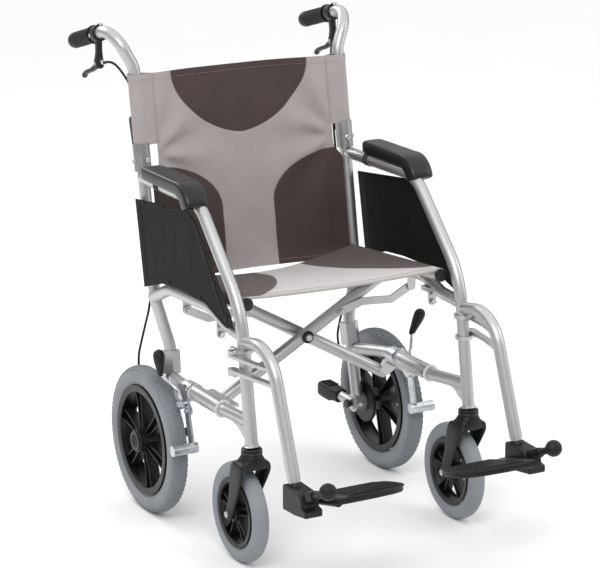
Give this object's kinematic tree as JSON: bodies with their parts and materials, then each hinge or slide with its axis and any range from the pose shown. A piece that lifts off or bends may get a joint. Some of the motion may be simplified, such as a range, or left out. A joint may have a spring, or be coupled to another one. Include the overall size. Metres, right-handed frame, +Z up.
{
  "type": "manual wheelchair",
  "caption": "Folding attendant wheelchair with a sling seat, half-folding back, swing-away footrests, drum brakes and small rear wheels.",
  "frame": {"origin": "centre of the footprint on the floor", "axes": "+X to the rider's left, +Y to the back, +Z up"},
  "size_m": [0.6282, 1.0466, 0.9794],
  "materials": {
    "frame_silver": "satin silver paint over aluminium tube",
    "zinc_steel": "bright zinc plate",
    "black_plastic": "fine moulded grain",
    "pad_black": "skinned foam, soft sheen",
    "grip_rubber": "matt ribbed rubber",
    "tyre_grey": "matt grey tyre",
    "sling_cloth": "woven nylon, light and dark panels",
    "panel_cloth": "coated black cloth"
  },
  "bodies": {
    "right_frame": {"rear_post_right": "frame_silver", "front_post_right": "frame_silver", "seat_rail_right": "frame_silver", "lower_rail_right": "frame_silver", "arm_pad_right": "pad_black", "side_panel_right": "panel_cloth", "park_brake_mount_right": "zinc_steel", "hub_brake_right": "zinc_steel", "back_hinge_right": "black_plastic", "tip_pedal_right": "grip_rubber", "brake_cable_right": "black_plastic"},
    "right_back": {"handle_post_right": "frame_silver", "push_grip_right": "grip_rubber", "lever_body_right": "black_plastic", "back_sling": "sling_cloth"},
    "right_back_release": {"back_release_right": "black_plastic"},
    "right_hand_lever": {"brake_lever_right": "black_plastic"},
    "right_park_lever": {"park_brake_lever_right": "zinc_steel"},
    "right_park_shoe": {"park_brake_shoe_right": "zinc_steel"},
    "right_rear_wheel": {"rear_wheel_right": "black_plastic", "rear_tyre_right": "tyre_grey"},
    "right_fork": {"caster_fork_right": "black_plastic"},
    "right_caster": {"caster_wheel_right": "black_plastic", "caster_tyre_right": "tyre_grey"},
    "right_hanger": {"hanger_right": "frame_silver"},
    "right_leg": {"foot_tube_right": "frame_silver", "foot_bracket_right": "black_plastic"},
    "right_footplate": {"footplate_right": "black_plastic"},
    "right_link": {"link_right": "frame_silver"},
    "left_frame": {"rear_post_left": "frame_silver", "front_post_left": "frame_silver", "seat_rail_left": "frame_silver", "lower_rail_left": "frame_silver", "arm_pad_left": "pad_black", "side_panel_left": "panel_cloth", "park_brake_mount_left": "zinc_steel", "hub_brake_left": "zinc_steel", "back_hinge_left": "black_plastic", "tip_pedal_left": "grip_rubber", "brake_cable_left": "black_plastic"},
    "left_back": {"handle_post_left": "frame_silver", "push_grip_left": "grip_rubber", "lever_body_left": "black_plastic"},
    "left_back_release": {"back_release_left": "black_plastic"},
    "left_hand_lever": {"brake_lever_left": "black_plastic"},
    "left_park_lever": {"park_brake_lever_left": "zinc_steel"},
    "left_park_shoe": {"park_brake_shoe_left": "zinc_steel"},
    "left_rear_wheel": {"rear_wheel_left": "black_plastic", "rear_tyre_left": "tyre_grey"},
    "left_fork": {"caster_fork_left": "black_plastic"},
    "left_caster": {"caster_wheel_left": "black_plastic", "caster_tyre_left": "tyre_grey"},
    "left_hanger": {"hanger_left": "frame_silver"},
    "left_leg": {"foot_tube_left": "frame_silver", "foot_bracket_left": "black_plastic"},
    "left_footplate": {"footplate_left": "black_plastic"},
    "left_link": {"link_left": "frame_silver"},
    "brace_a": {"brace_tube_a": "frame_silver", "seat_sling": "sling_cloth"},
    "brace_b": {"brace_tube_b": "frame_silver"}
  },
  "joints": [
    {"name": "fold", "type": "hinge", "parent": "right_frame", "child": "brace_a", "pos_m": [-0.238, 0.03919, 0.285], "axis": [0, -1, 0], "range_deg": [0, 46], "deforming": ["seat_sling", "back_sling"]},
    {"name": "brace_cross", "type": "hinge", "parent": "brace_a", "child": "brace_b", "pos_m": [0, 0.03919, 0.374], "axis": [0, -1, 0], "range_deg": [-93, 0]},
    {"name": "left_rail_turn", "type": "hinge", "parent": "brace_b", "child": "left_frame", "pos_m": [0.238, 0.03919, 0.285], "axis": [0, -1, 0], "range_deg": [0, 47]},
    {"name": "back_fold_right", "type": "hinge", "parent": "right_frame", "child": "right_back", "pos_m": [-0.236, 0.27526, 0.71435], "axis": [-1, 0, 0], "range_deg": [0, 70], "deforming": ["brake_cable_right", "back_sling"]},
    {"name": "release_right", "type": "hinge", "parent": "right_back", "child": "right_back_release", "pos_m": [-0.236, 0.29911, 0.72835], "axis": [-1, 0, 0], "range_deg": [0, 12], "stiffness_Nm_per_rad": 0.15, "springref_deg": -20.05},
    {"name": "hand_brake_right", "type": "hinge", "parent": "right_back", "child": "right_hand_lever", "pos_m": [-0.27486, 0.39202, 0.89811], "axis": [1, 0, 0], "range_deg": [0, 18], "stiffness_Nm_per_rad": 0.5},
    {"name": "park_brake_right", "type": "hinge", "parent": "right_frame", "child": "right_park_lever", "pos_m": [-0.266, 0.05419, 0.262], "axis": [1, 0, 0], "range_deg": [0, 45]},
    {"name": "park_shoe_right", "type": "hinge", "parent": "right_frame", "child": "right_park_shoe", "pos_m": [-0.259, 0.04019, 0.251], "axis": [1, 0, 0], "range_deg": [0, 3]},
    {"name": "rear_wheel_right", "type": "hinge", "parent": "right_frame", "child": "right_rear_wheel", "pos_m": [-0.276, 0.18619, 0.1525], "axis": [1, 0, 0], "continuous": true},
    {"name": "caster_swivel_right", "type": "hinge", "parent": "right_frame", "child": "right_fork", "pos_m": [-0.245, -0.20881, 0.251], "axis": [0, 0, 1], "continuous": true},
    {"name": "caster_roll_right", "type": "hinge", "parent": "right_fork", "child": "right_caster", "pos_m": [-0.245, -0.15881, 0.1], "axis": [1, 0, 0], "continuous": true},
    {"name": "footrest_swing_right", "type": "hinge", "parent": "right_frame", "child": "right_hanger", "pos_m": [-0.269, -0.1792, 0.387], "axis": [0, 0, -1], "range_deg": [0, 90]},
    {"name": "leg_length_right", "type": "slide", "parent": "right_hanger", "child": "right_leg", "axis": [0, -0.3584, -0.9336], "range_m": [0, 0.09]},
    {"name": "footplate_flip_right", "type": "hinge", "parent": "right_leg", "child": "right_footplate", "pos_m": [-0.213, -0.39429, 0.19606], "axis": [0, -0.9703, 0.2419], "range_deg": [0, 84]},
    {"name": "link_turn_right", "type": "hinge", "parent": "right_frame", "child": "right_link", "pos_m": [-0.24, 0.06769, 0.45], "axis": [0, -1, 0], "range_deg": [0, 74.4]},
    {"name": "back_fold_left", "type": "hinge", "parent": "left_frame", "child": "left_back", "pos_m": [0.236, 0.27526, 0.71435], "axis": [-1, 0, 0], "range_deg": [0, 70], "deforming": ["brake_cable_left"]},
    {"name": "release_left", "type": "hinge", "parent": "left_back", "child": "left_back_release", "pos_m": [0.236, 0.29911, 0.72835], "axis": [-1, 0, 0], "range_deg": [0, 12], "stiffness_Nm_per_rad": 0.15, "springref_deg": -20.05},
    {"name": "hand_brake_left", "type": "hinge", "parent": "left_back", "child": "left_hand_lever", "pos_m": [0.27486, 0.39202, 0.89811], "axis": [1, 0, 0], "range_deg": [0, 18], "stiffness_Nm_per_rad": 0.5},
    {"name": "park_brake_left", "type": "hinge", "parent": "left_frame", "child": "left_park_lever", "pos_m": [0.266, 0.05419, 0.262], "axis": [1, 0, 0], "range_deg": [0, 45]},
    {"name": "park_shoe_left", "type": "hinge", "parent": "left_frame", "child": "left_park_shoe", "pos_m": [0.259, 0.04019, 0.251], "axis": [1, 0, 0], "range_deg": [0, 3]},
    {"name": "rear_wheel_left", "type": "hinge", "parent": "left_frame", "child": "left_rear_wheel", "pos_m": [0.276, 0.18619, 0.1525], "axis": [1, 0, 0], "continuous": true},
    {"name": "caster_swivel_left", "type": "hinge", "parent": "left_frame", "child": "left_fork", "pos_m": [0.245, -0.20881, 0.251], "axis": [0, 0, 1], "continuous": true},
    {"name": "caster_roll_left", "type": "hinge", "parent": "left_fork", "child": "left_caster", "pos_m": [0.245, -0.15881, 0.1], "axis": [1, 0, 0], "continuous": true},
    {"name": "footrest_swing_left", "type": "hinge", "parent": "left_frame", "child": "left_hanger", "pos_m": [0.269, -0.1792, 0.387], "axis": [0, 0, 1], "range_deg": [0, 90]},
    {"name": "leg_length_left", "type": "slide", "parent": "left_hanger", "child": "left_leg", "axis": [0, -0.3584, -0.9336], "range_m": [0, 0.09]},
    {"name": "footplate_flip_left", "type": "hinge", "parent": "left_leg", "child": "left_footplate", "pos_m": [0.213, -0.39429, 0.19606], "axis": [0, 0.9703, -0.2419], "range_deg": [0, 84]},
    {"name": "link_turn_left", "type": "hinge", "parent": "left_frame", "child": "left_link", "pos_m": [0.24, 0.01069, 0.45], "axis": [0, 1, 0], "range_deg": [0, 74.4]}
  ],
  "couplings": [
    {"joint": "park_shoe_right", "follows": "park_brake_right", "ratio": 0.066667},
    {"joint": "footplate_flip_right", "follows": "fold", "ratio": 1.8},
    {"joint": "link_turn_right", "follows": "fold", "ratio": 1.5958},
    {"joint": "park_shoe_left", "follows": "park_brake_left", "ratio": 0.066667},
    {"joint": "footplate_flip_left", "follows": "fold", "ratio": 1.8},
    {"joint": "link_turn_left", "follows": "fold", "ratio": 1.5958},
    {"joint": "brace_cross", "follows": "fold", "ratio": -2},
    {"joint": "left_rail_turn", "follows": "fold", "ratio": 1},
    {"joint": "back_fold_left", "follows": "back_fold_right", "ratio": 1}
  ]
}
